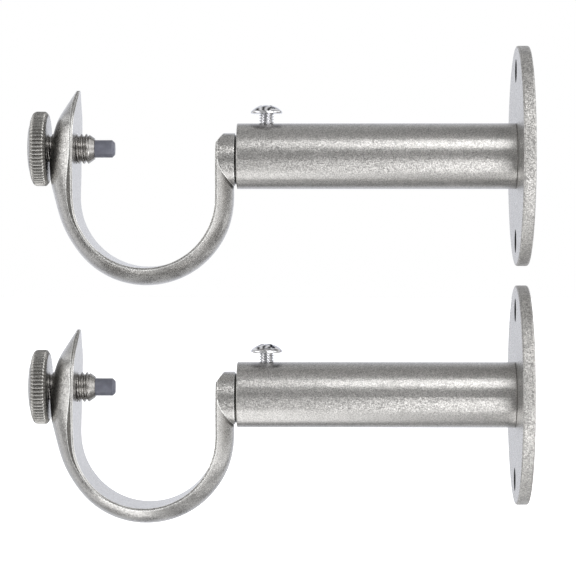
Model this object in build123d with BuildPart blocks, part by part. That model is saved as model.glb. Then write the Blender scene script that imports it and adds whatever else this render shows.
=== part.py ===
from build123d import *
import os
from math import cos, radians, sin

# A pair of wall brackets for a curtain rod, one above the other on the same wall.
# Each one is a round wall plate, a sleeve tube, and an arm that telescopes in the sleeve
# and ends in a J-shaped rod hook with a knurled thumbscrew through its leaf-shaped free end.
#
# Frame, in mm: the wall is the plane X = 0 and the room is at -X. Z is up and Y runs along
# the wall. Z = 0 is the axis of the upper bracket's sleeve tube. Inside the functions,
# "out" is the distance from the wall and "up" the height above the sleeve's axis.

os.makedirs("parts", exist_ok=True)

# ---- the pair ----
BRACKET_SPACING = 62.5
LEVELS = {"upper": 0.0, "lower": -BRACKET_SPACING}

# ---- wall plate ----
PLATE_DIA = 57.4
PLATE_THICK = 3.2
PLATE_EDGE_R = 0.5
WALL_HOLE_DIA = 5.5
WALL_HOLE_SPACING = 44.4
WALL_HOLE_CHAMFER = 0.3

# ---- sleeve tube, and what holds it to the plate ----
SLEEVE_OD = 17.2
SLEEVE_ID = 15.8
SLEEVE_MOUTH = 76.0
SLEEVE_EDGE_R = 0.25
PLUG_LENGTH = 12.0
PLUG_CHAMFER = 0.4
PLATE_SCREW_DIA = 5.0
PLATE_SCREW_HEAD_DIA = 9.2
PLATE_SCREW_END = 13.0
PLATE_SCREW_SLACK = 0.15
HEX_SOCKET = 3.0
HEX_SOCKET_DEPTH = 1.6
THREAD_CLEARANCE = 0.05

# ---- arm: stem tube and the root of the hook ----
STEM_DIA = 13.9
STEM_BORE = 11.5
SLIDE_CLEARANCE = 0.05
STEM_START = 16.5
STEM_END = 72.5
SPIGOT_START = 58.5
SPIGOT_CHAMFER = 0.6
ROOT_GROOVE_START = 76.1
ROOT_GROOVE_END = 76.6
ROOT_GROOVE_DEPTH = 0.5
HOOK_FACE = 81.5
HOOK_FACE_CHAMFER = 0.5
CORNER_CUT_OUT = 2.0
CORNER_CUT_UP = 2.6

# ---- hook: a band with a flat inner face and a crowned outer face ----
CRADLE_RADIUS = 18.3
CRADLE_HEIGHT = -10.8
BAND_THICK = 4.7
BAND_BEVEL = 0.45
LEAF_LEAN = 1.0
LEAF_TIP_UP = 17.1
# The band is straight from the stem down to the cradle, with its first cross-section repeated.
BRANCH_SECTIONS = 5
# Around the cradle: degrees from its wall side, going under the rod; then half width,
# thickness, and the height of the flat rim between the bevel and the crowned face.
CRADLE_STATIONS = [
    (0, 7.0, BAND_THICK, 0.15),
    (15, 7.1, BAND_THICK, 0.15),
    (30, 7.35, BAND_THICK, 0.15),
    (50, 7.8, BAND_THICK, 0.15),
    (70, 8.4, BAND_THICK, 0.15),
    (90, 9.0, BAND_THICK, 0.15),
    (110, 9.5, BAND_THICK, 0.15),
    (130, 9.9, 4.6, 0.2),
    (150, 10.2, 4.5, 0.4),
    (165, 10.45, 4.85, 0.8),
]
# Up the leaf: height above the sleeve's axis; then half width, thickness and rim height.
LEAF_STATIONS = [
    (CRADLE_HEIGHT, 10.8, 5.75, 1.15),
    (-7.0, 11.7, 6.65, 1.15),
    (-2.5, 12.4, 7.1, 0.7),
    (2.0, 12.75, 7.0, 0.3),
    (6.0, 12.8, 6.15, 0.35),
    (9.5, 11.4, 5.1, 0.5),
    (12.3, 8.3, 3.65, 0.65),
    (14.5, 5.1, 2.4, 0.7),
    (16.2, 2.7, 1.45, 0.55),
    (LEAF_TIP_UP, 1.0, 1.1, 0.35),
]

# ---- thumbscrew ----
THUMB_HEIGHT = 1.95
THUMB_THREAD_DIA = 7.9
KNOB_BACK = 125.4
KNOB_RIM_END = 128.7
KNOB_FRONT = 130.35
KNOB_DIA = 19.5
KNOB_FACE_R = 6.2
KNOB_SHOULDER = 129.75
KNOB_SHOULDER_R = 8.2
KNOB_EDGE = 0.45
KNURL_COUNT = 60
KNURL_GROOVE_R = 0.32
STUD_IN_KNOB = 3.2
STUD_SHOULDER = 115.0
STUD_END = 113.3
STUD_END_DIA = 5.6
TIP_DIA = 4.6
TIP_END = 108.05
TIP_CHAMFER = 0.7
TIP_SPIGOT_DIA = 3.0
TIP_SPIGOT_LENGTH = 3.0

# ---- set screw ----
SET_SCREW_OUT = 68.3
SET_SCREW_DIA = 3.9
SET_SCREW_HEAD_DIA = 8.3
SET_SCREW_HEAD_HEIGHT = 2.4
SET_SCREW_HEAD_EDGE = 0.6
SET_SCREW_HEAD_GAP = 2.5
SET_SCREW_TIP_CHAMFER = 0.4
SLOT_WIDTH = 1.0
SLOT_DEPTH = 1.2
CROSS_LENGTH = 4.6
SLOT_TURN = 35

# ---- worked out from the sizes above ----
PLATE_R = PLATE_DIA / 2
STEM_DROP = (SLEEVE_ID - STEM_DIA) / 2 - SLIDE_CLEARANCE
STEM_TOP = STEM_DIA / 2 - STEM_DROP
CRADLE_OUT = HOOK_FACE + CRADLE_RADIUS
LEAF_ROOT_OUT = CRADLE_OUT + CRADLE_RADIUS
SET_SCREW_SEAT = SLEEVE_OD / 2 + SET_SCREW_HEAD_GAP


def side_plane(level):
    """The bracket's vertical plane of symmetry, with (out, up) as its own coordinates."""
    return Plane(origin=(0, 0, level), x_dir=(-1, 0, 0), z_dir=(0, 1, 0))


def room_plane(out, level):
    """The plane parallel to the wall at distance `out`, facing the room."""
    return Plane(origin=(-out, 0, level), x_dir=(0, -1, 0), z_dir=(-1, 0, 0))


def wall_axis(up, level):
    """A line square to the wall at height `up` above the sleeve's axis."""
    return Axis((0, 0, level + up), (-1, 0, 0))


def band_plane(out, up, heading, level):
    """A plane across the hook's band. `heading` is the direction of travel along the band
    in degrees, 0 towards the room and 90 up. Its own y points to the band's outer face."""
    travel = (-cos(radians(heading)), 0, sin(radians(heading)))
    return Plane(origin=(-out, 0, level + up), x_dir=(0, 1, 0), z_dir=travel)


def band_stations(level):
    """Planes across the band, from the stem to the leaf's tip, each with its
    (half width, thickness, rim height)."""
    stations = []
    for section in range(BRANCH_SECTIONS):
        up = -STEM_DROP + section / BRANCH_SECTIONS * (CRADLE_HEIGHT + STEM_DROP)
        stations.append((band_plane(HOOK_FACE, up, -90, level), CRADLE_STATIONS[0][1:]))
    for angle, *sizes in CRADLE_STATIONS:
        out = CRADLE_OUT - CRADLE_RADIUS * cos(radians(angle))
        up = CRADLE_HEIGHT - CRADLE_RADIUS * sin(radians(angle))
        stations.append((band_plane(out, up, angle - 90, level), sizes))
    for up, *sizes in LEAF_STATIONS:
        share = (up - CRADLE_HEIGHT) / (LEAF_TIP_UP - CRADLE_HEIGHT)
        out = LEAF_ROOT_OUT - LEAF_LEAN * share**3
        stations.append((band_plane(out, up, 90, level), sizes))
    return stations


def make_wall_plate(level):
    with BuildPart() as wall_plate:
        with BuildSketch(room_plane(0, level)):
            Circle(PLATE_R)
        extrude(amount=PLATE_THICK)
        fillet(wall_plate.edges().filter_by(GeomType.CIRCLE), PLATE_EDGE_R)
        front = room_plane(PLATE_THICK, level)
        with Locations(front):
            with Locations((0, WALL_HOLE_SPACING / 2), (0, -WALL_HOLE_SPACING / 2)):
                CounterSinkHole(WALL_HOLE_DIA / 2, WALL_HOLE_DIA / 2 + WALL_HOLE_CHAMFER, PLATE_THICK)
        with Locations(Plane(origin=(0, 0, level), z_dir=(1, 0, 0))):
            CounterSinkHole(PLATE_SCREW_DIA / 2 + PLATE_SCREW_SLACK, PLATE_SCREW_HEAD_DIA / 2, PLATE_THICK)
    return wall_plate


def make_sleeve_tube(level):
    with BuildPart() as sleeve_tube:
        with BuildSketch(room_plane(PLATE_THICK, level)):
            Circle(SLEEVE_OD / 2)
            Circle(SLEEVE_ID / 2, mode=Mode.SUBTRACT)
        extrude(amount=SLEEVE_MOUTH - PLATE_THICK)
        end_edges = sleeve_tube.edges().filter_by(GeomType.CIRCLE)
        fillet(end_edges.filter_by(lambda edge: edge.radius > SLEEVE_ID / 2), SLEEVE_EDGE_R)
        with BuildSketch(Plane(origin=(-SET_SCREW_OUT, 0, level))):
            Circle(SET_SCREW_DIA / 2 + THREAD_CLEARANCE)
        extrude(amount=SLEEVE_OD, mode=Mode.SUBTRACT)
    return sleeve_tube


def make_tube_plug(level):
    plug_end = room_plane(PLATE_THICK + PLUG_LENGTH, level)
    with BuildPart() as tube_plug:
        with BuildSketch(room_plane(PLATE_THICK, level)):
            Circle(SLEEVE_ID / 2)
        extrude(amount=PLUG_LENGTH)
        chamfer(tube_plug.edges().filter_by(GeomType.CIRCLE), PLUG_CHAMFER)
        with Locations(plug_end):
            Hole(PLATE_SCREW_DIA / 2 + THREAD_CLEARANCE)
    return tube_plug


def make_plate_screw(level):
    head_r = PLATE_SCREW_HEAD_DIA / 2 - THREAD_CLEARANCE
    shank_r = PLATE_SCREW_DIA / 2
    with BuildPart() as plate_screw:
        with BuildSketch(side_plane(level)):
            with BuildLine():
                Polyline(
                    (THREAD_CLEARANCE, 0),
                    (THREAD_CLEARANCE, head_r - 2 * THREAD_CLEARANCE),
                    (THREAD_CLEARANCE + head_r - shank_r, shank_r),
                    (PLATE_SCREW_END - SET_SCREW_TIP_CHAMFER, shank_r),
                    (PLATE_SCREW_END, shank_r - SET_SCREW_TIP_CHAMFER),
                    (PLATE_SCREW_END, 0),
                    close=True,
                )
            make_face()
        revolve(axis=wall_axis(0, level))
        with BuildSketch(room_plane(THREAD_CLEARANCE, level)):
            RegularPolygon(HEX_SOCKET / 2, 6, major_radius=False)
        extrude(amount=HEX_SOCKET_DEPTH, mode=Mode.SUBTRACT)
    return plate_screw


def make_stem_tube(level):
    with BuildPart() as stem_tube:
        with BuildSketch(room_plane(STEM_START, level - STEM_DROP)):
            Circle(STEM_DIA / 2)
            Circle(STEM_BORE / 2, mode=Mode.SUBTRACT)
        extrude(amount=STEM_END - STEM_START)
        wall_end = stem_tube.edges().filter_by(GeomType.CIRCLE).group_by(Axis.X)[-1]
        chamfer(wall_end, SLEEVE_EDGE_R)
    return stem_tube


def make_hook(level):
    with BuildPart() as hook:
        # The band, lofted through its cross-sections.
        for plane, (half_width, thick, rim_height) in band_stations(level):
            bevel = min(BAND_BEVEL, thick / 4)
            flat = half_width - bevel
            rim = bevel + rim_height
            with BuildSketch(plane):
                with BuildLine():
                    Polyline(
                        (half_width, rim),
                        (half_width, bevel),
                        (flat, 0),
                        (-flat, 0),
                        (-half_width, bevel),
                        (-half_width, rim),
                    )
                    ThreePointArc((-half_width, rim), (0, thick), (half_width, rim))
                make_face()
        loft()
        # The round root of the hook, with the spigot that is pressed into the stem tube.
        stem_r = STEM_DIA / 2
        spigot_r = STEM_BORE / 2
        with BuildSketch(side_plane(level - STEM_DROP)):
            with BuildLine():
                Polyline(
                    (SPIGOT_START, 0),
                    (SPIGOT_START, spigot_r - SPIGOT_CHAMFER),
                    (SPIGOT_START + SPIGOT_CHAMFER, spigot_r),
                    (STEM_END, spigot_r),
                    (STEM_END, stem_r),
                    (ROOT_GROOVE_START, stem_r),
                    (ROOT_GROOVE_START, stem_r - ROOT_GROOVE_DEPTH),
                    (ROOT_GROOVE_END, stem_r - ROOT_GROOVE_DEPTH),
                    (ROOT_GROOVE_END, stem_r),
                    (HOOK_FACE - HOOK_FACE_CHAMFER, stem_r),
                    (HOOK_FACE, stem_r - HOOK_FACE_CHAMFER),
                    (HOOK_FACE, 0),
                    close=True,
                )
            make_face()
        revolve(axis=wall_axis(-STEM_DROP, level))
        # The flat cut across the root's upper corner.
        with BuildSketch(side_plane(level)):
            with BuildLine():
                Polyline(
                    (HOOK_FACE - CORNER_CUT_OUT, STEM_TOP),
                    (HOOK_FACE, STEM_TOP - CORNER_CUT_UP),
                    (HOOK_FACE + CORNER_CUT_OUT, STEM_TOP - CORNER_CUT_UP),
                    (HOOK_FACE + CORNER_CUT_OUT, STEM_TOP + CORNER_CUT_UP),
                    (HOOK_FACE - CORNER_CUT_OUT, STEM_TOP + CORNER_CUT_UP),
                    close=True,
                )
            make_face()
        extrude(amount=STEM_DIA, both=True, mode=Mode.SUBTRACT)
        # The thumbscrew's threaded hole through the leaf.
        with BuildSketch(room_plane(CRADLE_OUT, level + THUMB_HEIGHT)):
            Circle(THUMB_THREAD_DIA / 2 + THREAD_CLEARANCE)
        extrude(amount=2 * CRADLE_RADIUS, mode=Mode.SUBTRACT)
    return hook


def make_thumb_knob(level):
    rim_r = KNOB_DIA / 2
    bore_r = THUMB_THREAD_DIA / 2
    with BuildPart() as thumb_knob:
        with BuildSketch(side_plane(level + THUMB_HEIGHT)):
            with BuildLine():
                Polyline(
                    (KNOB_FRONT, 0),
                    (KNOB_BACK, 0),
                    (KNOB_BACK, rim_r - KNOB_EDGE),
                    (KNOB_BACK + KNOB_EDGE, rim_r),
                    (KNOB_RIM_END - KNOB_EDGE, rim_r),
                    (KNOB_RIM_END, rim_r - KNOB_EDGE),
                )
                ThreePointArc(
                    (KNOB_RIM_END, rim_r - KNOB_EDGE),
                    (KNOB_SHOULDER, KNOB_SHOULDER_R),
                    (KNOB_FRONT, KNOB_FACE_R),
                )
                Line((KNOB_FRONT, KNOB_FACE_R), (KNOB_FRONT, 0))
            make_face()
        revolve(axis=wall_axis(THUMB_HEIGHT, level))
        knob_back = room_plane(KNOB_BACK, level + THUMB_HEIGHT)
        with BuildSketch(knob_back):
            Circle(bore_r)
        extrude(amount=STUD_IN_KNOB, mode=Mode.SUBTRACT)
        with BuildSketch(knob_back):
            with PolarLocations(rim_r, KNURL_COUNT):
                Circle(KNURL_GROOVE_R)
        extrude(amount=KNOB_FRONT - KNOB_BACK, mode=Mode.SUBTRACT)
    return thumb_knob


def make_thumb_stud(level):
    thread_r = THUMB_THREAD_DIA / 2
    with BuildPart() as thumb_stud:
        with BuildSketch(side_plane(level + THUMB_HEIGHT)):
            with BuildLine():
                Polyline(
                    (STUD_END, 0),
                    (STUD_END, STUD_END_DIA / 2),
                    (STUD_SHOULDER, thread_r),
                    (KNOB_BACK + STUD_IN_KNOB, thread_r),
                    (KNOB_BACK + STUD_IN_KNOB, 0),
                    close=True,
                )
            make_face()
        revolve(axis=wall_axis(THUMB_HEIGHT, level))
        with BuildSketch(room_plane(STUD_END, level + THUMB_HEIGHT)):
            Circle(TIP_SPIGOT_DIA / 2 + THREAD_CLEARANCE)
        extrude(amount=TIP_SPIGOT_LENGTH + THREAD_CLEARANCE, mode=Mode.SUBTRACT)
    return thumb_stud


def make_stud_tip(level):
    tip_r = TIP_DIA / 2
    tip_root = STUD_END - THREAD_CLEARANCE
    with BuildPart() as stud_tip:
        with BuildSketch(side_plane(level + THUMB_HEIGHT)):
            with BuildLine():
                Polyline(
                    (TIP_END, 0),
                    (TIP_END, tip_r - TIP_CHAMFER),
                    (TIP_END + TIP_CHAMFER, tip_r),
                    (tip_root, tip_r),
                    (tip_root, TIP_SPIGOT_DIA / 2),
                    (STUD_END + TIP_SPIGOT_LENGTH, TIP_SPIGOT_DIA / 2),
                    (STUD_END + TIP_SPIGOT_LENGTH, 0),
                    close=True,
                )
            make_face()
        revolve(axis=wall_axis(THUMB_HEIGHT, level))
    return stud_tip


def make_set_screw(level):
    shank_r = SET_SCREW_DIA / 2
    head_r = SET_SCREW_HEAD_DIA / 2
    head_top = SET_SCREW_SEAT + SET_SCREW_HEAD_HEIGHT
    dome_rise = SET_SCREW_HEAD_HEIGHT - SET_SCREW_HEAD_EDGE
    dome_r = (head_r**2 + dome_rise**2) / (2 * dome_rise)
    screw_tip = STEM_TOP + SLIDE_CLEARANCE
    with BuildPart() as set_screw:
        with BuildSketch(side_plane(level)):
            with BuildLine():
                Polyline(
                    (SET_SCREW_OUT, head_top),
                    (SET_SCREW_OUT, screw_tip),
                    (SET_SCREW_OUT + shank_r - SET_SCREW_TIP_CHAMFER, screw_tip),
                    (SET_SCREW_OUT + shank_r, screw_tip + SET_SCREW_TIP_CHAMFER),
                    (SET_SCREW_OUT + shank_r, SET_SCREW_SEAT),
                    (SET_SCREW_OUT + head_r, SET_SCREW_SEAT),
                    (SET_SCREW_OUT + head_r, SET_SCREW_SEAT + SET_SCREW_HEAD_EDGE),
                )
                RadiusArc(
                    (SET_SCREW_OUT + head_r, SET_SCREW_SEAT + SET_SCREW_HEAD_EDGE),
                    (SET_SCREW_OUT, head_top),
                    -dome_r,
                )
            make_face()
        revolve(axis=Axis((-SET_SCREW_OUT, 0, level), (0, 0, 1)))
        # One recess for both drivers: a slot right across the head, and the cross's other arm.
        with BuildSketch(Plane(origin=(-SET_SCREW_OUT, 0, level + head_top))):
            Rectangle(SLOT_WIDTH, 2 * SET_SCREW_HEAD_DIA, rotation=SLOT_TURN)
            Rectangle(CROSS_LENGTH, SLOT_WIDTH, rotation=SLOT_TURN)
        extrude(amount=-SLOT_DEPTH, mode=Mode.SUBTRACT)
    return set_screw


PIECES = {
    "wall_plate": make_wall_plate,
    "sleeve_tube": make_sleeve_tube,
    "tube_plug": make_tube_plug,
    "plate_screw": make_plate_screw,
    "stem_tube": make_stem_tube,
    "hook": make_hook,
    "thumb_knob": make_thumb_knob,
    "thumb_stud": make_thumb_stud,
    "stud_tip": make_stud_tip,
    "set_screw": make_set_screw,
}

for bracket, level in LEVELS.items():
    for piece_name, make_piece in PIECES.items():
        piece = make_piece(level)
        piece.part.label = f"{bracket}_{piece_name}"
        export_step(piece.part, f"parts/{bracket}_{piece_name}.step")
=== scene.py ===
import math

import bmesh
import bpy
import numpy as np
from mathutils import Matrix, Vector


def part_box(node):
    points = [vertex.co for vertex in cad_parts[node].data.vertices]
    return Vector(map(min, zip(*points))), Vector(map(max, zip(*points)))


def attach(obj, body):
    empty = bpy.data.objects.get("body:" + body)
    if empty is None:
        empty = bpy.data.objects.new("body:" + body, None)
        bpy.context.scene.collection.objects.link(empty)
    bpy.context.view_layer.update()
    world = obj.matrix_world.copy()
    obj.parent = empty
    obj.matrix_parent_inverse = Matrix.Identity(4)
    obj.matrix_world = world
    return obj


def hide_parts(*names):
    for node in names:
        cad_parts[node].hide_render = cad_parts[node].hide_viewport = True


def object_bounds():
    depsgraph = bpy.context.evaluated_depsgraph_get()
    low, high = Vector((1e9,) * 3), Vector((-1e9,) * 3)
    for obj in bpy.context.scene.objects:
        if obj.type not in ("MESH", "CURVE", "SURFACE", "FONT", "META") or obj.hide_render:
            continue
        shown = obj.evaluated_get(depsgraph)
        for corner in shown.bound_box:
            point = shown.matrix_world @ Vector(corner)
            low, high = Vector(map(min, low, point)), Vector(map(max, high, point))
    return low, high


# The looks of a pair of wall brackets for a curtain rod. The CAD model gives every piece's
# place and size. Threads, knurling and screw heads are built here, and every piece gets a
# procedural material.

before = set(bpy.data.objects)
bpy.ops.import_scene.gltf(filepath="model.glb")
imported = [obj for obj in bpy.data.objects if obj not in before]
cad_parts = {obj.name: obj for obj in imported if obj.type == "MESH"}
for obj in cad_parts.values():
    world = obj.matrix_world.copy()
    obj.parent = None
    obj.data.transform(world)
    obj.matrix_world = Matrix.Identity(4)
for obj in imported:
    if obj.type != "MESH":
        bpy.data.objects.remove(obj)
cad_low, cad_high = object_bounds()

MM = 0.001
BRACKETS = ("upper", "lower")
TOWARD_ROOM = Vector((-1, 0, 0))
UP = Vector((0, 0, 1))


# ---------------------------------------------------------------- mesh helpers

def link(name, bm, place):
    """Turns a bmesh built along its own +Z into an object whose mesh is in the row frame."""
    bmesh.ops.recalc_face_normals(bm, faces=bm.faces)
    mesh = bpy.data.meshes.new(name)
    bm.to_mesh(mesh)
    bm.free()
    mesh.transform(place)
    mesh.shade_smooth()
    obj = bpy.data.objects.new(name, mesh)
    bpy.context.scene.collection.objects.link(obj)
    return obj


def placed(origin, direction):
    """A matrix that puts local +Z along `direction`, starting at `origin`."""
    return Matrix.Translation(origin) @ direction.to_track_quat("Z", "Y").to_matrix().to_4x4()


def rings_mesh(heights, radii):
    """A closed bmesh of stacked rings. `radii` is an array of rings by angles."""
    bm = bmesh.new()
    count = radii.shape[1]
    angles = np.linspace(0, 2 * math.pi, count, endpoint=False)
    rows = []
    for height, ring in zip(heights, radii):
        points = [(r * math.cos(a), r * math.sin(a), height) for r, a in zip(ring, angles)]
        rows.append([bm.verts.new(point) for point in points])
    for low, high in zip(rows, rows[1:]):
        for i in range(count):
            j = (i + 1) % count
            bm.faces.new((low[i], low[j], high[j], high[i]))
    bm.faces.new(rows[0][::-1])
    bm.faces.new(rows[-1])
    return bm


def thread_radii(heights, angles, radius, pitch, depth, runout=(0, 0)):
    """The radius of a right-hand thread with flat crests and roots, at each height and angle.
    The groove grows from nothing to its full depth between the two heights in `runout`."""
    phase = heights[:, None] / pitch - angles[None, :] / (2 * math.pi)
    tooth = np.abs(2 * (phase % 1) - 1)
    crest, root = 0.16, 0.22
    groove = depth * np.clip((tooth - crest) / (1 - crest - root), 0, 1)
    return radius - groove * np.interp(heights, runout, (0, 1))[:, None]


def sharpen(obj, degrees):
    """Marks the edges that are sharper than this, so that smooth shading stops at them."""
    obj.data.set_sharp_from_angle(angle=math.radians(degrees))


def finish_piece(obj, body, node, material):
    obj.data.materials.clear()
    obj.data.materials.append(material)
    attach(obj, body)
    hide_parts(node)


# ---------------------------------------------------------------- materials

def new_material(name):
    material = bpy.data.materials.new(name)
    material.use_nodes = True
    tree = material.node_tree
    return material, tree, tree.nodes["Principled BSDF"]


def object_coordinates(tree):
    return tree.nodes.new("ShaderNodeTexCoord").outputs["Object"]


def noise(tree, coordinates, size, detail=2.0):
    """A noise texture whose features are about `size` metres across."""
    node = tree.nodes.new("ShaderNodeTexNoise")
    node.inputs["Scale"].default_value = 1 / size
    node.inputs["Detail"].default_value = detail
    tree.links.new(coordinates, node.inputs["Vector"])
    return node.outputs["Fac"]


def flakes(tree, coordinates, size):
    """Random colours in cells about `size` metres across, one for each metal flake."""
    node = tree.nodes.new("ShaderNodeTexVoronoi")
    node.inputs["Scale"].default_value = 1 / size
    tree.links.new(coordinates, node.inputs["Vector"])
    return node.outputs["Color"]


def ramp(tree, value, stops):
    node = tree.nodes.new("ShaderNodeValToRGB")
    elements = node.color_ramp.elements
    while len(elements) < len(stops):
        elements.new(0.5)
    for element, (position, colour) in zip(elements, stops):
        element.position = position
        element.color = (*colour, 1)
    tree.links.new(value, node.inputs["Fac"])
    return node.outputs["Color"]


def remap(tree, value, low, high, start=0, end=1):
    """`value` from `start` to `end` becomes `low` to `high`, and is held there beyond."""
    node = tree.nodes.new("ShaderNodeMapRange")
    node.inputs["From Min"].default_value = start
    node.inputs["From Max"].default_value = end
    node.inputs["To Min"].default_value = low
    node.inputs["To Max"].default_value = high
    tree.links.new(value, node.inputs["Value"])
    return node.outputs["Result"]


def multiply_add(tree, value, factor, addend):
    node = tree.nodes.new("ShaderNodeMath")
    node.operation = "MULTIPLY_ADD"
    node.inputs[1].default_value = factor
    tree.links.new(value, node.inputs[0])
    if isinstance(addend, float):
        node.inputs[2].default_value = addend
    else:
        tree.links.new(addend, node.inputs[2])
    return node.outputs[0]


def tilted_normal(tree, random_colour, tilt):
    """The surface normal, tipped a little at random in each flake."""
    centred = tree.nodes.new("ShaderNodeVectorMath")
    centred.operation = "SUBTRACT"
    centred.inputs[1].default_value = (0.5, 0.5, 0.5)
    tree.links.new(random_colour, centred.inputs[0])
    scaled = tree.nodes.new("ShaderNodeVectorMath")
    scaled.operation = "SCALE"
    scaled.inputs["Scale"].default_value = tilt
    tree.links.new(centred.outputs[0], scaled.inputs[0])
    added = tree.nodes.new("ShaderNodeVectorMath")
    added.operation = "ADD"
    geometry = tree.nodes.new("ShaderNodeNewGeometry")
    tree.links.new(geometry.outputs["Normal"], added.inputs[0])
    tree.links.new(scaled.outputs[0], added.inputs[1])
    normalised = tree.nodes.new("ShaderNodeVectorMath")
    normalised.operation = "NORMALIZE"
    tree.links.new(added.outputs[0], normalised.inputs[0])
    return normalised.outputs[0]


def bumped(tree, height, distance, strength=1.0, normal=None):
    node = tree.nodes.new("ShaderNodeBump")
    node.inputs["Strength"].default_value = strength
    node.inputs["Distance"].default_value = distance
    tree.links.new(height, node.inputs["Height"])
    if normal is not None:
        tree.links.new(normal, node.inputs["Normal"])
    return node.outputs["Normal"]


def flake_paint(
    name, dark, light, flake_size, tilt, grain, roughest, peel, coat=0.35, spread=0.16
):
    """Pewter paint: a metallic base full of fine flakes under a thin clear lacquer. `tilt` is
    how far the flakes lean, `grain` how much their brightness varies, `spread` how much their
    roughness varies below `roughest`, and `peel` the height of the lacquer's ripples."""
    material, tree, shader = new_material(name)
    coordinates = object_coordinates(tree)
    flake = flakes(tree, coordinates, flake_size)
    separate = tree.nodes.new("ShaderNodeSeparateColor")
    tree.links.new(flake, separate.inputs["Color"])
    body_colour = ramp(tree, noise(tree, coordinates, 2.5 * MM), [(0.3, dark), (0.7, light)])
    sparkle = remap(tree, separate.outputs["Red"], 1 - grain, 1 + grain)
    scaled = tree.nodes.new("ShaderNodeVectorMath")
    scaled.operation = "SCALE"
    tree.links.new(body_colour, scaled.inputs[0])
    tree.links.new(sparkle, scaled.inputs["Scale"])
    tree.links.new(scaled.outputs[0], shader.inputs["Base Color"])
    roughness = remap(tree, separate.outputs["Green"], roughest - spread, roughest)
    tree.links.new(roughness, shader.inputs["Roughness"])
    normal = tilted_normal(tree, flake, tilt)
    orange_peel = noise(tree, coordinates, 0.9 * MM, 1.0)
    tree.links.new(bumped(tree, orange_peel, peel, 0.4, normal), shader.inputs["Normal"])
    shader.inputs["Metallic"].default_value = 1.0
    shader.inputs["Coat Weight"].default_value = coat
    shader.inputs["Coat Roughness"].default_value = 0.12
    shader.inputs["Coat IOR"].default_value = 1.5
    return material


def plated_metal(name, colour, roughness):
    """Bright plating with faint handling haze."""
    material, tree, shader = new_material(name)
    coordinates = object_coordinates(tree)
    haze = noise(tree, coordinates, 1.2 * MM, 3.0)
    tree.links.new(remap(tree, haze, 0.6 * roughness, 1.6 * roughness), shader.inputs["Roughness"])
    tint = [c * 0.93 for c in colour]
    tree.links.new(ramp(tree, haze, [(0.35, tint), (0.65, colour)]), shader.inputs["Base Color"])
    fine = noise(tree, coordinates, 0.25 * MM)
    tree.links.new(bumped(tree, fine, 0.004 * MM), shader.inputs["Normal"])
    shader.inputs["Metallic"].default_value = 1.0
    return material


def dull_thread(name, dark, light):
    """Cut thread: dull steel, darker where dirt and oil sit."""
    material, tree, shader = new_material(name)
    coordinates = object_coordinates(tree)
    mottle = noise(tree, coordinates, 0.8 * MM, 4.0)
    tree.links.new(ramp(tree, mottle, [(0.35, dark), (0.65, light)]), shader.inputs["Base Color"])
    tree.links.new(remap(tree, mottle, 0.2, 0.34), shader.inputs["Roughness"])
    fine = noise(tree, coordinates, 0.15 * MM)
    tree.links.new(bumped(tree, fine, 0.01 * MM), shader.inputs["Normal"])
    shader.inputs["Metallic"].default_value = 1.0
    return material


def moulded_plastic(name, dark, light):
    """Satin moulded plastic with a fine spark-eroded grain."""
    material, tree, shader = new_material(name)
    coordinates = object_coordinates(tree)
    cloud = noise(tree, coordinates, 1.5 * MM, 3.0)
    tree.links.new(ramp(tree, cloud, [(0.35, dark), (0.65, light)]), shader.inputs["Base Color"])
    tree.links.new(remap(tree, cloud, 0.32, 0.44), shader.inputs["Roughness"])
    fine = noise(tree, coordinates, 0.12 * MM)
    tree.links.new(bumped(tree, fine, 0.008 * MM), shader.inputs["Normal"])
    shader.inputs["Specular IOR Level"].default_value = 0.5
    return material


PAINT_DARK = (0.45, 0.441, 0.428)
PAINT_LIGHT = (0.485, 0.476, 0.463)
KNOB_DARK = (0.33, 0.323, 0.308)
KNOB_LIGHT = (0.38, 0.371, 0.353)
paint = flake_paint(
    "pewter_paint", PAINT_DARK, PAINT_LIGHT,
    flake_size=0.23 * MM, tilt=0.17, grain=0.26, roughest=0.40, peel=0.010 * MM,
)
fine_paint = flake_paint(
    "pewter_fine", PAINT_DARK, PAINT_LIGHT,
    flake_size=0.19 * MM, tilt=0.085, grain=0.36, roughest=0.36, peel=0.002 * MM, spread=0.08,
)
knob_paint = flake_paint(
    "pewter_knob", KNOB_DARK, KNOB_LIGHT,
    flake_size=0.19 * MM, tilt=0.08, grain=0.16, roughest=0.36, peel=0.004 * MM,
)
thread_metal = dull_thread("stud_metal", (0.31, 0.30, 0.29), (0.45, 0.44, 0.425))
tip_plastic = moulded_plastic("tip_plastic", (0.115, 0.12, 0.15), (0.155, 0.16, 0.195))
chrome = plated_metal("screw_chrome", (0.72, 0.72, 0.74), 0.07)
bare_steel = plated_metal("bare_steel", (0.52, 0.51, 0.50), 0.3)

WALL_HOLE_SPACING = 44.4 * MM
WALL_HOLE_RADIUS = 2.75 * MM
WALL_HOLE_CHAMFER = 0.3 * MM
BORE_MARGIN = 0.02 * MM
# Near-black painted shade for the bores of the wall screw holes.
BORE_SHADE_COLOUR = (0.012, 0.012, 0.012, 1)
BORE_ROUGHNESS = 0.7
PLATE_RIM_WIDTH = 0.4 * MM
PLATE_RIM_ROUGHNESS = 0.26


def distance_from_axis(tree, coordinates, axis_z):
    """The distance from a line along X at height axis_z."""
    flattened = tree.nodes.new("ShaderNodeVectorMath")
    flattened.operation = "MULTIPLY"
    flattened.inputs[1].default_value = (0, 1, 1)
    tree.links.new(coordinates, flattened.inputs[0])
    distance = tree.nodes.new("ShaderNodeVectorMath")
    distance.operation = "DISTANCE"
    distance.inputs[1].default_value = (0, 0, axis_z)
    tree.links.new(flattened.outputs[0], distance.inputs[0])
    return distance.outputs["Value"]


def compared(tree, value, operation, limit):
    node = tree.nodes.new("ShaderNodeMath")
    node.operation = operation
    node.inputs[1].default_value = limit
    tree.links.new(value, node.inputs[0])
    return node.outputs[0]


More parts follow.
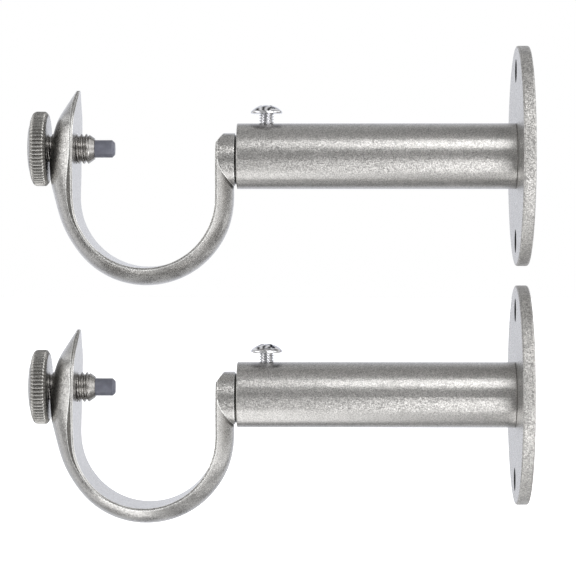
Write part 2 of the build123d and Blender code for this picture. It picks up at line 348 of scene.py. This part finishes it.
def recolour(tree, mask, colour):
    """Replaces the base colour by `colour` wherever the mask is 1."""
    shader = tree.nodes["Principled BSDF"]
    node = tree.nodes.new("ShaderNodeMix")
    node.data_type = "RGBA"
    node.inputs["B"].default_value = colour
    tree.links.new(mask, node.inputs["Factor"])
    tree.links.new(shader.inputs["Base Color"].links[0].from_socket, node.inputs["A"])
    tree.links.new(node.outputs["Result"], shader.inputs["Base Color"])


def make_plate_paint(bracket):
    """Paint that is rougher on the plate's rim. The bores of the two screw holes are painted
    black, as painted shade.
    """
    low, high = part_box(f"{bracket}_wall_plate")
    middle = (low.z + high.z) / 2
    plate_radius = (high.z - low.z) / 2
    material = flake_paint(
        f"pewter_{bracket}_plate", PAINT_DARK, PAINT_LIGHT,
        flake_size=0.25 * MM, tilt=0.24, grain=0.38, roughest=0.38, peel=0.022 * MM, coat=0.0,
    )
    tree = material.node_tree
    shader = tree.nodes["Principled BSDF"]
    coordinates = object_coordinates(tree)
    from_middle = distance_from_axis(tree, coordinates, middle)
    rim = compared(tree, from_middle, "GREATER_THAN", plate_radius - PLATE_RIM_WIDTH)
    painted = shader.inputs["Roughness"].links[0].from_socket
    roughness = multiply_add(tree, rim, PLATE_RIM_ROUGHNESS, painted)
    metal = 1.0
    bore_radius = WALL_HOLE_RADIUS + WALL_HOLE_CHAMFER + BORE_MARGIN
    for side in (-1, 1):
        from_hole = distance_from_axis(tree, coordinates, middle + side * WALL_HOLE_SPACING / 2)
        bore = compared(tree, from_hole, "LESS_THAN", bore_radius)
        # Painted shade: the bore is coloured near black.
        recolour(tree, bore, BORE_SHADE_COLOUR)
        roughness = multiply_add(tree, bore, BORE_ROUGHNESS, roughness)
        metal = multiply_add(tree, bore, -1.0, metal)
    tree.links.new(roughness, shader.inputs["Roughness"])
    tree.links.new(metal, shader.inputs["Metallic"])
    return material


ROOT_GROOVE_X = -76.35 * MM
ROOT_GROOVE_WIDTH = 0.56 * MM
# Near-black painted shade for the groove in the hook's root.
ROOT_GROOVE_SHADE_COLOUR = (0.03, 0.028, 0.025, 1)
LEAF_LIMIT_X = -100 * MM
# The leaf's flat rim is coloured about half as bright: painted shade.
RIM_SHADE_COLOUR = (0.235, 0.227, 0.214, 1)
RIM_FACING = (0.88, 0.96)
# Near-white painted highlight along the hook's sharp edges.
EDGE_HIGHLIGHT_COLOUR = (1.0, 1.0, 0.98, 1)
EDGE_ROUNDING = 0.3 * MM
EDGE_AGREEMENT = (0.999, 0.985)


def edge_highlight_mask(tree):
    """1 on sharp edges, falling to 0 a little way from them, where a painted highlight goes. An
    edge is where the normal of the rounded surface stops agreeing with the flat one."""
    geometry = tree.nodes.new("ShaderNodeNewGeometry")
    rounded = tree.nodes.new("ShaderNodeBevel")
    rounded.samples = 8
    rounded.inputs["Radius"].default_value = EDGE_ROUNDING
    agreement = tree.nodes.new("ShaderNodeVectorMath")
    agreement.operation = "DOT_PRODUCT"
    tree.links.new(geometry.outputs["True Normal"], agreement.inputs[0])
    tree.links.new(rounded.outputs["Normal"], agreement.inputs[1])
    return remap(tree, agreement.outputs["Value"], 0, 1, *EDGE_AGREEMENT)


def rim_shade_mask(tree):
    """1 on the leaf's flat rim, which faces along Y and is darkened by painted shade."""
    coordinates = tree.nodes.new("ShaderNodeTexCoord")
    split = tree.nodes.new("ShaderNodeSeparateXYZ")
    tree.links.new(coordinates.outputs["Normal"], split.inputs[0])
    facing = compared(tree, split.outputs["Y"], "ABSOLUTE", 0)
    squarely = remap(tree, facing, 0, 1, *RIM_FACING)
    place = tree.nodes.new("ShaderNodeSeparateXYZ")
    tree.links.new(object_coordinates(tree), place.inputs[0])
    on_leaf = compared(tree, place.outputs["X"], "LESS_THAN", LEAF_LIMIT_X)
    both = tree.nodes.new("ShaderNodeMath")
    both.operation = "MULTIPLY"
    tree.links.new(squarely, both.inputs[0])
    tree.links.new(on_leaf, both.inputs[1])
    return both.outputs[0]


def make_hook_paint():
    """Paint with painted shade in the groove that is turned in the hook's round root, painted
    shade on the flat rim, and painted highlights along the sharp edges."""
    material = flake_paint(
        "pewter_hook", PAINT_DARK, PAINT_LIGHT,
        flake_size=0.22 * MM, tilt=0.13, grain=0.30, roughest=0.40, peel=0.006 * MM,
    )
    tree = material.node_tree
    split = tree.nodes.new("ShaderNodeSeparateXYZ")
    tree.links.new(object_coordinates(tree), split.inputs[0])
    offset = multiply_add(tree, split.outputs["X"], 1.0, -ROOT_GROOVE_X)
    distance = compared(tree, offset, "ABSOLUTE", 0)
    groove = compared(tree, distance, "LESS_THAN", ROOT_GROOVE_WIDTH / 2)
    # Painted shade: the flat rim is coloured darker.
    recolour(tree, rim_shade_mask(tree), RIM_SHADE_COLOUR)
    # Painted highlight: the sharp edges are coloured near white.
    recolour(tree, edge_highlight_mask(tree), EDGE_HIGHLIGHT_COLOUR)
    # Painted shade: the root groove is coloured near black.
    recolour(tree, groove, ROOT_GROOVE_SHADE_COLOUR)
    return material


CAD_MATERIALS = {
    "sleeve_tube": fine_paint,
    "stem_tube": paint,
    "hook": make_hook_paint(),
    "tube_plug": bare_steel,
    "plate_screw": bare_steel,
    "stud_tip": tip_plastic,
}
for bracket in BRACKETS:
    for piece, material in CAD_MATERIALS.items():
        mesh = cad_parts[f"{bracket}_{piece}"].data
        mesh.materials.clear()
        mesh.materials.append(material)
    plate_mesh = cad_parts[f"{bracket}_wall_plate"].data
    plate_mesh.materials.clear()
    plate_mesh.materials.append(make_plate_paint(bracket))


# ---------------------------------------------------------------- thumbscrew

KNURL_COUNT = 60
KNURL_DEPTH = 0.42 * MM
KNURL_FADE_START = 3.0 * MM
KNURL_FADE_WIDTH = 1.2 * MM
KNURL_STEPS = 12
KNOB_CREST = 0.01 * MM
STUD_PITCH = 1.25 * MM
STUD_THREAD_DEPTH = 0.62 * MM
SPIGOT_BORE_RADIUS = 1.55 * MM
SPIGOT_BORE_DEPTH = 3.05 * MM
STUD_END_RADIUS = 2.75 * MM
STUD_CHAMFER_LENGTH = 1.7 * MM
STUD_RUNOUT = (1.1 * MM, 1.7 * MM)
STUD_STEPS = 16
THREAD_ANGLES = 96


def rounded_profile(points, radius, steps=4):
    """The (height, radius) outline with its inner corners rounded."""
    outline = [Vector(points[0])]
    for before, corner, after in zip(points, points[1:], points[2:]):
        before, corner, after = Vector(before), Vector(corner), Vector(after)
        reach = min(radius, (corner - before).length / 2, (after - corner).length / 2)
        start = corner + (before - corner).normalized() * reach
        end = corner + (after - corner).normalized() * reach
        for step in range(steps + 1):
            t = step / steps
            outline.append(start * (1 - t) ** 2 + corner * 2 * t * (1 - t) + end * t**2)
    outline.append(Vector(points[-1]))
    return outline


def make_knob(bracket):
    node = f"{bracket}_thumb_knob"
    low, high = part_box(node)
    rim = (high.z - low.z) / 2 + KNOB_CREST
    depth = high.x - low.x
    centre = Vector((high.x, 0, (low.z + high.z) / 2))
    profile = [
        # the back, and the chamfer up to the knurled rim
        (0, 0.2 * MM),
        (0, rim - 0.85 * MM),
        (0.7 * MM, rim),
        # the rim, and the shoulder down to the flat front
        (depth - 1.75 * MM, rim),
        (depth - 1.1 * MM, rim - 0.35 * MM),
        (depth - 0.6 * MM, rim - 1.4 * MM),
        (depth - 0.35 * MM, rim - 2.7 * MM),
        (depth - 0.25 * MM, rim - 3.1 * MM),
        (depth, rim - 3.6 * MM),
        (depth, 0.2 * MM),
    ]
    outline = rounded_profile(profile, 0.3 * MM)
    heights = np.array([p[0] for p in outline])
    radii = np.array([p[1] for p in outline])
    angles = np.linspace(0, 2 * math.pi, KNURL_COUNT * KNURL_STEPS, endpoint=False)
    ridge = np.abs(np.sin(angles * KNURL_COUNT / 2))
    share = np.clip((radii - (rim - KNURL_FADE_START)) / KNURL_FADE_WIDTH, 0, 1)
    rings = radii[:, None] - KNURL_DEPTH * share[:, None] * (1 - ridge[None, :])
    place = placed(centre, TOWARD_ROOM)
    obj = link(f"{bracket}_knob_knurled", rings_mesh(heights, rings), place)
    sharpen(obj, 50)
    finish_piece(obj, f"{bracket}_thumbscrew", node, knob_paint)


def make_stud(bracket):
    node = f"{bracket}_thumb_stud"
    low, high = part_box(node)
    radius = (high.z - low.z) / 2
    start = Vector((high.x, 0, (low.z + high.z) / 2))
    length = high.x - low.x
    heights = np.arange(0, length, STUD_PITCH / STUD_STEPS)
    heights = np.append(heights, length)
    angles = np.linspace(0, 2 * math.pi, THREAD_ANGLES, endpoint=False)
    radii = thread_radii(heights, angles, radius, STUD_PITCH, STUD_THREAD_DEPTH, STUD_RUNOUT)
    chamfer = STUD_END_RADIUS + heights / STUD_CHAMFER_LENGTH * (radius - STUD_END_RADIUS)
    radii = np.minimum(radii, chamfer[:, None])
    # The blind hole in the stud's end, which holds the tip's spigot.
    bore = np.full((2, len(angles)), SPIGOT_BORE_RADIUS)
    heights = np.concatenate([(SPIGOT_BORE_DEPTH, 0), heights])
    radii = np.concatenate([bore, radii])
    place = placed(start, TOWARD_ROOM)
    obj = link(f"{bracket}_stud_threaded", rings_mesh(heights, radii), place)
    sharpen(obj, 40)
    finish_piece(obj, f"{bracket}_thumbscrew", node, thread_metal)


# ---------------------------------------------------------------- set screw

SET_SCREW_PITCH = 0.7 * MM
SET_SCREW_THREAD_DEPTH = 0.4 * MM
SET_SCREW_SHANK_RADIUS = 1.95 * MM
SET_SCREW_TIP_CHAMFER = 0.45 * MM
SET_SCREW_HEAD_HEIGHT = 2.35 * MM
SET_SCREW_STEPS = 12
SLOT_WIDTH = 1.0 * MM
SLOT_DEPTH = 1.15 * MM
CROSS_LENGTH = 4.6 * MM
CROSS_EXTRA_DEPTH = 0.2 * MM
SLOT_TURN = math.radians(35)


def cutter(size, centre):
    bm = bmesh.new()
    place = Matrix.Translation(centre) @ Matrix.Rotation(SLOT_TURN, 4, "Z")
    bmesh.ops.create_cube(bm, size=1, matrix=place @ Matrix.Diagonal((*size, 1)))
    mesh = bpy.data.meshes.new("cutter")
    bm.to_mesh(mesh)
    bm.free()
    obj = bpy.data.objects.new("cutter", mesh)
    bpy.context.scene.collection.objects.link(obj)
    return obj


def cut_away(obj, tools):
    """Subtracts each tool from obj, keeps the result as its mesh and deletes the tools."""
    for tool in tools:
        modifier = obj.modifiers.new("cut", "BOOLEAN")
        modifier.object = tool
        modifier.operation = "DIFFERENCE"
        modifier.solver = "EXACT"
    graph = bpy.context.evaluated_depsgraph_get()
    result = bpy.data.meshes.new_from_object(obj.evaluated_get(graph))
    obj.modifiers.clear()
    obj.data = result
    for tool in tools:
        bpy.data.objects.remove(tool)


def make_set_screw(bracket):
    node = f"{bracket}_set_screw"
    low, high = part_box(node)
    head_r = (high.x - low.x) / 2
    centre = Vector(((low.x + high.x) / 2, 0, low.z))
    length = high.z - low.z
    head_low = length - SET_SCREW_HEAD_HEIGHT
    shank_r = SET_SCREW_SHANK_RADIUS
    shank_heights = np.arange(0, head_low, SET_SCREW_PITCH / SET_SCREW_STEPS)
    angles = np.linspace(0, 2 * math.pi, THREAD_ANGLES, endpoint=False)
    shank = thread_radii(shank_heights, angles, shank_r, SET_SCREW_PITCH, SET_SCREW_THREAD_DEPTH)
    shank = np.minimum(shank, (shank_r - SET_SCREW_TIP_CHAMFER + shank_heights)[:, None])
    head = rounded_profile(
        [
            (head_low, shank_r - 0.2 * MM),
            (head_low, head_r),
            (head_low + 0.6 * MM, head_r),
            (length - 0.75 * MM, 0.72 * head_r),
            (length - 0.2 * MM, 0.4 * head_r),
            (length, 0.1 * MM),
        ],
        0.8 * MM,
    )
    heights = np.concatenate([shank_heights, [p[0] for p in head]])
    radii = np.concatenate([shank, np.array([[p[1]] * len(angles) for p in head])])
    place = placed(centre, UP)
    obj = link(f"{bracket}_set_screw_threaded", rings_mesh(heights, radii), place)
    top = Vector((centre.x, 0, high.z))
    slot = cutter((SLOT_WIDTH, 4 * head_r, 2 * SLOT_DEPTH), top)
    cross = cutter((CROSS_LENGTH, SLOT_WIDTH, 2 * SLOT_DEPTH + CROSS_EXTRA_DEPTH), top)
    cut_away(obj, [slot, cross])
    sharpen(obj, 35)
    finish_piece(obj, f"{bracket}_clamp_screw", node, chrome)


for bracket in BRACKETS:
    make_knob(bracket)
    make_stud(bracket)
    make_set_screw(bracket)


# ---------------------------------------------------------------- stage, light and camera

FLOOR_SIZE = 6
FLOOR_GAP = 0.05
# The world's light: how strong it is in front, and what it gains to the sides and upwards.
ROOM_LEVEL = 0.38
ROOM_SIDE_GAIN = 0.50
ROOM_TOP_GAIN = 0.06
STRIPE_ACROSS = 20.0
STRIPE_SLANT = 9.0
STRIPE_CONTRAST = 0.9
BACKDROP_COLOUR = (0.97, 0.99, 1.06, 1)
BACKDROP_START = 0.6
BACKDROP_FULL = 0.93


def white_stage():
    """A plain pale floor below the pair. It throws no shadow and isn't seen in the metal."""
    material, _, shader = new_material("floor_white")
    shader.inputs["Base Color"].default_value = (0.9, 0.9, 0.9, 1)
    shader.inputs["Roughness"].default_value = 0.9
    shader.inputs["Emission Color"].default_value = (1, 1, 1, 1)
    shader.inputs["Emission Strength"].default_value = 0.75
    height = cad_low.z - FLOOR_GAP
    bpy.ops.mesh.primitive_plane_add(size=FLOOR_SIZE, location=(0, 0, height))
    floor = bpy.context.object
    floor.name = "floor"
    floor.data.materials.append(material)
    floor.visible_glossy = False
    floor.visible_diffuse = False
    floor.visible_shadow = False


def squared(tree, value):
    node = tree.nodes.new("ShaderNodeMath")
    node.operation = "MULTIPLY"
    tree.links.new(value, node.inputs[0])
    tree.links.new(value, node.inputs[1])
    return node.outputs[0]


def striped(tree, across, upward, value):
    """Breaks the value into slanting bright and dark panels. Paint blurs them together, and
    bright plating shows them."""
    slant = multiply_add(tree, upward, STRIPE_SLANT, 0.0)
    phase = multiply_add(tree, across, STRIPE_ACROSS, slant)
    wave = tree.nodes.new("ShaderNodeMath")
    wave.operation = "SINE"
    tree.links.new(phase, wave.inputs[0])
    gain = multiply_add(tree, wave.outputs[0], STRIPE_CONTRAST, 1.0)
    panels = tree.nodes.new("ShaderNodeMath")
    panels.operation = "MULTIPLY"
    tree.links.new(value, panels.inputs[0])
    tree.links.new(gain, panels.inputs[1])
    return panels.outputs[0]


def studio_world():
    """Lights the object with a bright backdrop behind it and a striped grey room elsewhere.
    The camera itself sees plain white."""
    world = bpy.data.worlds.new("studio")
    bpy.context.scene.world = world
    world.use_nodes = True
    tree = world.node_tree
    background = tree.nodes["Background"]
    direction = tree.nodes.new("ShaderNodeTexCoord").outputs["Generated"]
    split = tree.nodes.new("ShaderNodeSeparateXYZ")
    tree.links.new(direction, split.inputs[0])
    sideways = squared(tree, split.outputs["X"])
    upward = squared(tree, split.outputs["Z"])
    room = multiply_add(tree, sideways, ROOM_SIDE_GAIN, ROOM_LEVEL)
    room = multiply_add(tree, upward, ROOM_TOP_GAIN, room)
    room = striped(tree, split.outputs["X"], split.outputs["Z"], room)
    backdrop = tree.nodes.new("ShaderNodeMix")
    backdrop.data_type = "RGBA"
    backdrop.inputs["B"].default_value = BACKDROP_COLOUR
    stops = [(BACKDROP_START, (0, 0, 0)), (BACKDROP_FULL, (1, 1, 1))]
    tree.links.new(ramp(tree, split.outputs["Y"], stops), backdrop.inputs["Factor"])
    tree.links.new(room, backdrop.inputs["A"])
    seen = tree.nodes.new("ShaderNodeLightPath").outputs["Is Camera Ray"]
    choice = tree.nodes.new("ShaderNodeMix")
    choice.data_type = "RGBA"
    choice.inputs["B"].default_value = (1, 1, 1, 1)
    tree.links.new(seen, choice.inputs["Factor"])
    tree.links.new(backdrop.outputs["Result"], choice.inputs["A"])
    tree.links.new(choice.outputs["Result"], background.inputs["Color"])


LIGHT_DISTANCE = 0.9
PANEL_HEIGHT = 0.9


def span_width(spread):
    """How wide a light is that spans `spread` degrees, seen from the object."""
    return 2 * LIGHT_DISTANCE * math.tan(math.radians(spread / 2))


def area_light(name, aim, direction, width, height, radiance):
    """A soft rectangular light that looks at `aim` from the given direction."""
    offset = direction * LIGHT_DISTANCE
    data = bpy.data.lights.new(name, "AREA")
    data.shape = "RECTANGLE"
    data.size = width
    data.size_y = height
    data.energy = radiance * math.pi * data.size * data.size_y
    lamp = bpy.data.objects.new(name, data)
    bpy.context.scene.collection.objects.link(lamp)
    lamp.location = aim + offset
    lamp.rotation_euler = (-offset).to_track_quat("-Z", "Y").to_euler()


def strip_light(name, elevation, spread, radiance, centre_x, width):
    """A soft strip along X in front of the object, at an elevation in degrees."""
    aim = Vector((centre_x, 0, (cad_low.z + cad_high.z) / 2))
    angle = math.radians(elevation)
    direction = Vector((0, -math.cos(angle), math.sin(angle)))
    area_light(name, aim, direction, width, span_width(spread), radiance)


def side_panel(name, azimuth, spread, radiance):
    """A tall soft panel beside the object, at an azimuth in degrees to the right of the front."""
    aim = Vector(((cad_low.x + cad_high.x) / 2, 0, (cad_low.z + cad_high.z) / 2))
    angle = math.radians(azimuth)
    direction = Vector((math.sin(angle), -math.cos(angle), 0))
    area_light(name, aim, direction, span_width(spread), PANEL_HEIGHT, radiance)


CAMERA_PLACE = Vector((-50.5, -640.6, -14.0)) * MM
CAMERA_TARGET = Vector((-62.7, 0.0, -34.5)) * MM
CAMERA_LENS = 152.8


def photo_camera():
    data = bpy.data.cameras.new("camera")
    data.lens = CAMERA_LENS
    data.sensor_width = 36
    camera = bpy.data.objects.new("camera", data)
    bpy.context.scene.collection.objects.link(camera)
    camera.location = CAMERA_PLACE
    camera.rotation_euler = (CAMERA_TARGET - CAMERA_PLACE).to_track_quat("-Z", "Y").to_euler()
    bpy.context.scene.camera = camera


white_stage()
studio_world()
strip_light("upper_strip", elevation=43, spread=27, radiance=2.9, centre_x=0.37, width=0.84)
strip_light("lower_strip", elevation=-34, spread=44, radiance=2.87, centre_x=0.46, width=0.84)
strip_light("low_panel", elevation=-80, spread=54, radiance=1.6, centre_x=-0.42, width=0.8)
side_panel("right_panel", azimuth=76, spread=76, radiance=0.66)
side_panel("left_panel", azimuth=-75, spread=44, radiance=1.3)
photo_camera()
bpy.context.scene.view_settings.view_transform = "Standard"
